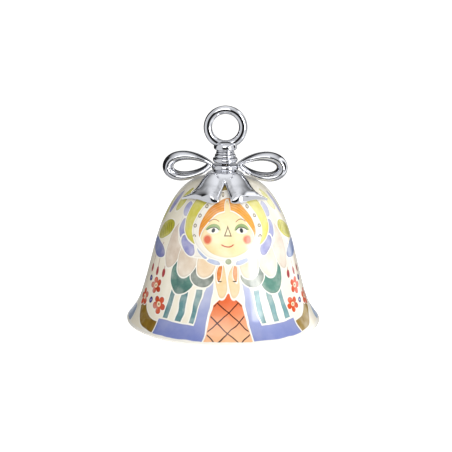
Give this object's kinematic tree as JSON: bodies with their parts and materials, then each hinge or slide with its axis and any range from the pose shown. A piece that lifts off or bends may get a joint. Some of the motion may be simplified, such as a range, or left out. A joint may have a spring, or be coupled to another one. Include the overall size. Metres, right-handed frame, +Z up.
{
  "type": "porcelain bell",
  "caption": "Glazed porcelain bell with painted decoration, a chrome-plated bow and hanging ring, and a ball clapper swinging inside.",
  "frame": {"origin": "centre of the rim circle, in the plane that the rim stands on", "axes": "+Z up along the bell's axis, bow along X, decorated front faces -Y"},
  "size_m": [0.08, 0.08, 0.0905],
  "materials": {
    "porcelain": "clear gloss glaze over a hand-painted decoration",
    "gasket": "translucent soft rubber, matt",
    "chrome_bow": "mirror chrome plating on cast metal",
    "plated_steel": "bright nickel-plated steel",
    "spring_steel": "dark spring steel",
    "chrome_ball": "polished chrome plating on a steel ball"
  },
  "bodies": {
    "bell": {"bell_shell": "porcelain", "crown_gasket": "gasket", "ribbon_tails": "chrome_bow", "knot_lower_turn": "chrome_bow", "bow_loop_left": "chrome_bow", "bow_loop_right": "chrome_bow", "knot_upper_turn": "chrome_bow", "beaded_collar": "chrome_bow", "hanger_ring": "chrome_bow", "eye_stud": "plated_steel", "inner_gasket": "gasket", "steel_washer": "plated_steel", "spring_washer": "spring_steel", "hex_nut": "plated_steel"},
    "link": {"jump_ring": "plated_steel"},
    "clapper": {"clapper_wire": "plated_steel", "clapper_ball": "chrome_ball", "ball_ferrule": "plated_steel"}
  },
  "joints": [
    {"name": "link_swing", "type": "hinge", "parent": "bell", "child": "link", "pos_m": [0, 0, 0.0491], "axis": [1, 0, 0], "range_deg": [-27, 27]},
    {"name": "clapper_swing", "type": "hinge", "parent": "link", "child": "clapper", "pos_m": [0, 0, 0.0457], "axis": [0, 1, 0], "range_deg": [-27, 27]}
  ]
}
